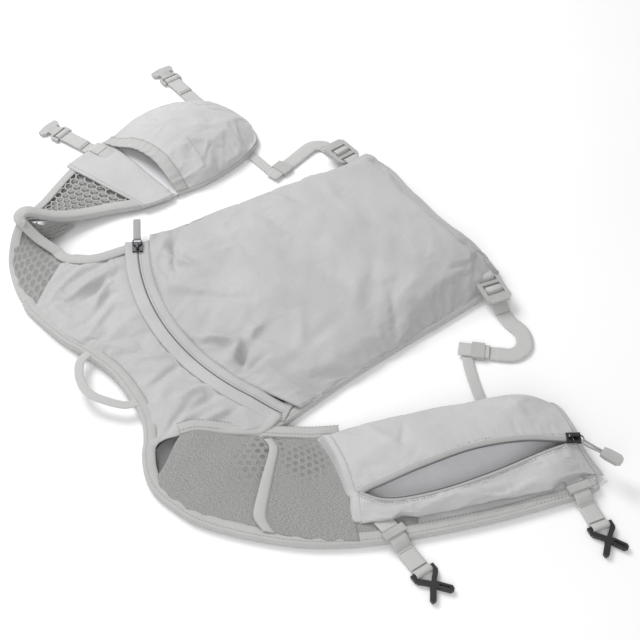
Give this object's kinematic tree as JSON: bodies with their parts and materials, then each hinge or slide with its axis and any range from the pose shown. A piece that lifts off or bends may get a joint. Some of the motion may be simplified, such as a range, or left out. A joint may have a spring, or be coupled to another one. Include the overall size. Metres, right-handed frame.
{
  "type": "running hydration vest",
  "caption": "Light grey soft hydration vest laid flat, with a zipped back compartment, mesh and zipped chest pockets, side buckles and sternum hooks.",
  "frame": {"origin": "centre of the zip curve side of the back panel: the point on the flat underside of the back lining that lies on the centre line, level with the middle of the pack", "axes": "+X towards the wearer's right shoulder strap, +Y towards the neck, +Z out of the outer side of the back"},
  "size_m": [0.74, 0.3888, 0.0299],
  "materials": {
    "shell": "light grey ripstop stretch shell",
    "yoke": "light grey stretch yoke",
    "lining": "grey spacer mesh",
    "strap_mesh": "grey open mesh",
    "pocket_fabric": "light grey stretch fabric",
    "binding": "light grey folded elastic binding",
    "webbing": "light grey woven webbing",
    "zip_tape": "grey zip tape and elastic",
    "zip_coil": "grey nylon coil",
    "gunmetal": "dark gunmetal",
    "grey_plastic": "light grey moulded plastic",
    "black_plastic": "satin black moulded plastic",
    "cord": "grey braided cord"
  },
  "bodies": {
    "vest": {"pack_shell": "shell", "back_lining": "lining", "back_yoke": "yoke", "back_zip_tape_lower": "zip_tape", "back_zip_tape_upper": "zip_tape", "back_zip_coil": "zip_coil", "right_shoulder_mesh": "strap_mesh", "right_net_panel": "strap_mesh", "right_strap_pad": "pocket_fabric", "left_shoulder_mesh": "strap_mesh", "left_strap_pad": "strap_mesh", "gel_pocket": "pocket_fabric", "mesh_pocket": "strap_mesh", "phone_pocket": "pocket_fabric", "phone_zip_tape_inner": "zip_tape", "phone_zip_tape_outer": "zip_tape", "phone_zip_coil": "zip_coil", "neck_binding": "binding", "right_outer_binding": "binding", "right_armhole_binding": "binding", "left_outer_binding": "binding", "left_armhole_binding": "binding", "gel_pocket_band": "binding", "mesh_pocket_band": "binding", "right_side_binding": "binding", "left_side_binding": "binding", "hang_loop": "webbing", "left_buckle_tab": "webbing", "left_side_webbing": "webbing", "left_side_tail": "webbing", "left_strap_ribbon": "webbing", "right_buckle_tab": "webbing", "right_side_webbing": "webbing", "right_side_tail": "webbing", "right_strap_ribbon": "webbing"},
    "back_slider": {"back_zip_slider": "gunmetal"},
    "back_pull": {"back_zip_ring": "gunmetal", "back_zip_pull": "webbing"},
    "phone_slider": {"phone_zip_slider": "gunmetal"},
    "phone_pull": {"phone_zip_ring": "gunmetal", "phone_pull_cord": "cord", "phone_pull_grip": "grey_plastic"},
    "left_side_buckle": {"left_buckle": "grey_plastic", "left_buckle_webbing": "webbing"},
    "left_keeper_sleeve": {"left_keeper": "zip_tape"},
    "right_side_buckle": {"right_buckle": "grey_plastic", "right_buckle_webbing": "webbing"},
    "right_keeper_sleeve": {"right_keeper": "zip_tape"},
    "left_upper_strap": {"left_upper_webbing": "webbing", "left_upper_clip": "grey_plastic"},
    "left_upper_hook_body": {"left_upper_hook": "black_plastic"},
    "left_lower_strap": {"left_lower_webbing": "webbing", "left_lower_clip": "grey_plastic"},
    "left_lower_hook_body": {"left_lower_hook": "black_plastic"},
    "right_upper_strap": {"right_upper_webbing": "webbing", "right_upper_fold": "webbing"},
    "right_upper_hook_body": {"right_upper_hook": "grey_plastic"},
    "right_lower_strap": {"right_lower_webbing": "webbing", "right_lower_fold": "webbing"},
    "right_lower_hook_body": {"right_lower_hook": "grey_plastic"}
  },
  "joints": [
    {"name": "back_zip_travel", "type": "hinge", "parent": "vest", "child": "back_slider", "pos_m": [0, -0.121, 0.0123], "axis": [0, 0, 1], "range_deg": [0, 58]},
    {"name": "back_pull_swing", "type": "hinge", "parent": "back_slider", "child": "back_pull", "pos_m": [0.11539, 0.08716, 0.01645], "axis": [-0.4848, -0.8746, 0], "range_deg": [0, 165]},
    {"name": "phone_zip_travel", "type": "hinge", "parent": "vest", "child": "phone_slider", "pos_m": [-0.625, 0.127, 0.0203], "axis": [0, 0, 1], "range_deg": [0, 25]},
    {"name": "phone_pull_swing", "type": "hinge", "parent": "phone_slider", "child": "phone_pull", "pos_m": [-0.29029, -0.09202, 0.02445], "axis": [-0.3223, 0.9466, 0], "range_deg": [0, 150]},
    {"name": "left_buckle_tilt", "type": "hinge", "parent": "vest", "child": "left_side_buckle", "pos_m": [-0.10246, -0.15666, 0.0125], "axis": [0.225, 0.9744, 0], "range_deg": [0, 20]},
    {"name": "left_keeper_slide", "type": "slide", "parent": "vest", "child": "left_keeper_sleeve", "axis": [-0.6862, -0.7274, 0], "range_m": [0, 0.006]},
    {"name": "right_buckle_tilt", "type": "hinge", "parent": "vest", "child": "right_side_buckle", "pos_m": [0.1025, -0.15192, 0.0125], "axis": [0.0523, -0.9986, 0], "range_deg": [0, 20]},
    {"name": "right_keeper_slide", "type": "slide", "parent": "vest", "child": "right_keeper_sleeve", "axis": [0.2425, -0.9701, 0], "range_m": [0, 0.006]},
    {"name": "left_upper_strap_swing", "type": "hinge", "parent": "vest", "child": "left_upper_strap", "pos_m": [-0.2665, 0.07748, 0.0084], "axis": [0.012, 0.9999, 0], "range_deg": [0, 90]},
    {"name": "left_upper_hook_turn", "type": "hinge", "parent": "left_upper_strap", "child": "left_upper_hook_body", "pos_m": [-0.31, 0.078, 0.0021], "axis": [0.012, 0.9999, 0], "range_deg": [-20, 55]},
    {"name": "left_lower_strap_swing", "type": "hinge", "parent": "vest", "child": "left_lower_strap", "pos_m": [-0.31805, -0.07144, 0.0084], "axis": [0.2183, 0.9759, 0], "range_deg": [0, 90]},
    {"name": "left_lower_hook_turn", "type": "hinge", "parent": "left_lower_strap", "child": "left_lower_hook_body", "pos_m": [-0.358, -0.0625, 0.0021], "axis": [0.2183, 0.9759, 0], "range_deg": [-20, 55]},
    {"name": "right_upper_strap_swing", "type": "hinge", "parent": "vest", "child": "right_upper_strap", "pos_m": [0.26212, 0.04431, 0.0084], "axis": [0.3432, -0.9393, 0], "range_deg": [0, 90]},
    {"name": "right_upper_hook_turn", "type": "hinge", "parent": "right_upper_strap", "child": "right_upper_hook_body", "pos_m": [0.316, 0.064, 0.0021], "axis": [0.3432, -0.9393, 0], "range_deg": [-20, 55]},
    {"name": "right_lower_strap_swing", "type": "hinge", "parent": "vest", "child": "right_lower_strap", "pos_m": [0.2807, -0.07913, 0.0016], "axis": [0.0633, -0.998, 0], "range_deg": [0, 90]},
    {"name": "right_lower_hook_turn", "type": "hinge", "parent": "right_lower_strap", "child": "right_lower_hook_body", "pos_m": [0.33, -0.076, 0.0021], "axis": [0.0633, -0.998, 0], "range_deg": [-20, 55]}
  ]
}
